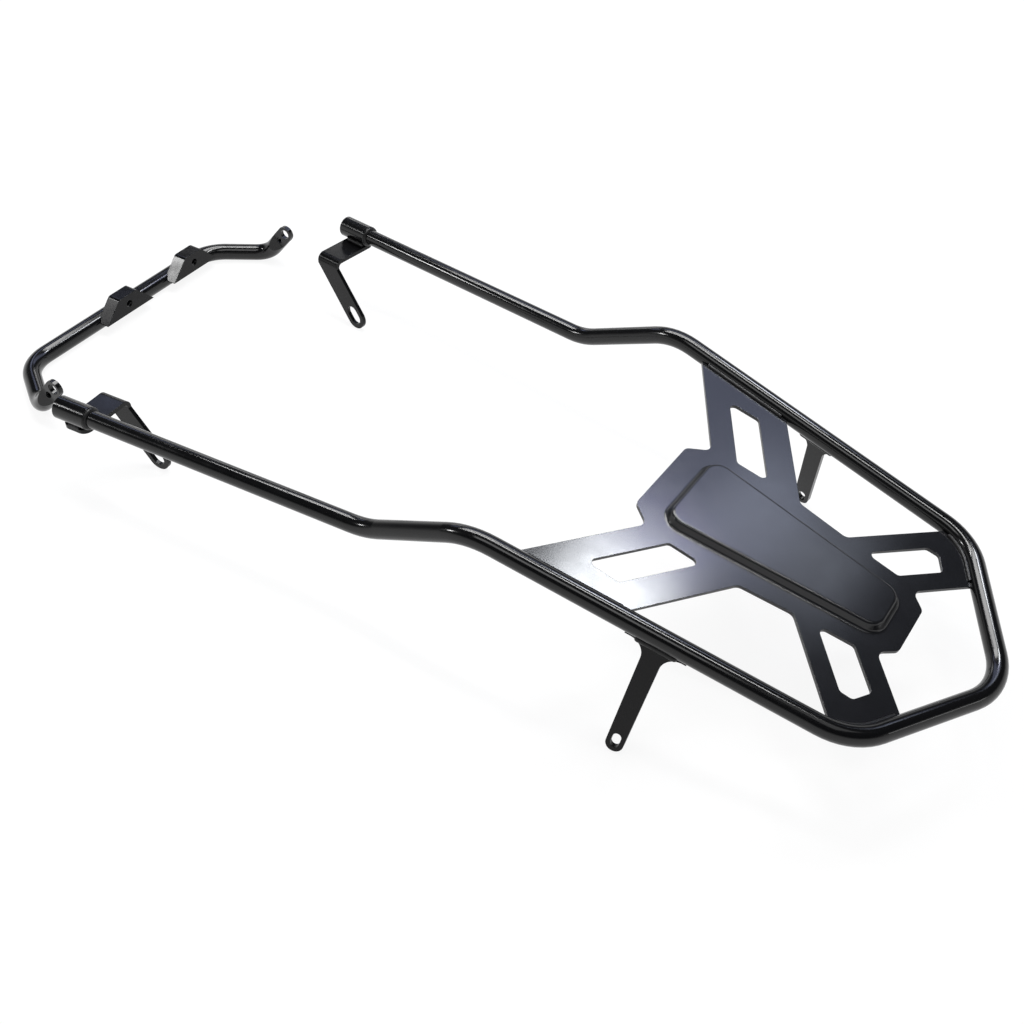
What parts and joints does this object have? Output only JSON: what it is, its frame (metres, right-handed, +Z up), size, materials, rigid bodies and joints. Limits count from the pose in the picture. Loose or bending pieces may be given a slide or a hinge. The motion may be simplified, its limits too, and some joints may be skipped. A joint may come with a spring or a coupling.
{
  "type": "motorcycle luggage rack",
  "caption": "Tail rack of bent tube with a stamped carrier plate, splayed strap legs and slotted front straps, and a loose turned-up front bar.",
  "frame": {"origin": "on the floor, under the middle of the box round rack and loose bar", "axes": "+Y to the rear of the motorcycle, +X to the rider's left, +Z up from the floor"},
  "size_m": [0.4132, 0.9695, 0.1386],
  "materials": {
    "tube_paint": "gloss",
    "plate_paint": "satin",
    "strap_paint": "semi-gloss",
    "weld_paint": "gloss"
  },
  "bodies": {
    "root": {"rail_tube": "tube_paint", "front_bar": "tube_paint", "left_sleeve": "tube_paint", "right_sleeve": "tube_paint", "carrier_plate": "plate_paint", "left_leg": "strap_paint", "right_leg": "strap_paint", "left_front_strap": "strap_paint", "right_front_strap": "strap_paint", "middle_saddle": "strap_paint", "right_saddle": "strap_paint", "left_front_plate_weld": "weld_paint", "right_front_plate_weld": "weld_paint", "left_rear_plate_weld": "weld_paint", "right_rear_plate_weld": "weld_paint", "left_leg_weld": "weld_paint", "right_leg_weld": "weld_paint", "left_sleeve_weld": "weld_paint", "right_sleeve_weld": "weld_paint", "left_strap_weld": "weld_paint", "right_strap_weld": "weld_paint"}
  },
  "joints": []
}
